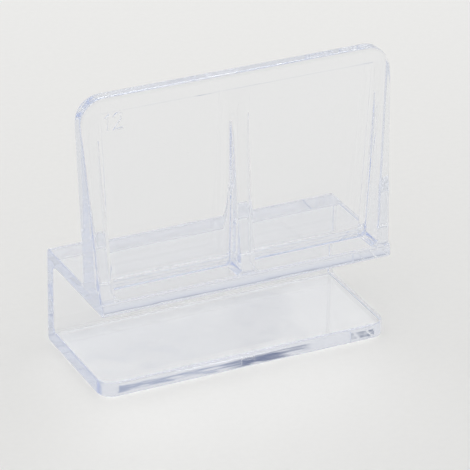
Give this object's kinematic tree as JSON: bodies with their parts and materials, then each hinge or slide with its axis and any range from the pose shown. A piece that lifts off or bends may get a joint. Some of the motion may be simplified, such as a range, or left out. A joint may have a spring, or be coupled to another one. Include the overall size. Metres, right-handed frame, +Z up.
{
  "type": "aquarium glass lid clip",
  "caption": "Clear one-piece clip with a U channel that grips the rim of a glass tank and a ribbed upright ledge that carries the edge of a glass lid.",
  "frame": {"origin": "under the middle of the body, on the plane of the flange's underside", "axes": "+X along the length of the clip, +Y from the channel's mouth towards its back wall, +Z up from the flange to the top of the plate"},
  "size_m": [0.055, 0.0227, 0.0508],
  "materials": {
    "clear_plastic": "clear gloss with a faint blue tint at the edges"
  },
  "bodies": {
    "root": {"lid_clip": "clear_plastic"}
  },
  "joints": []
}
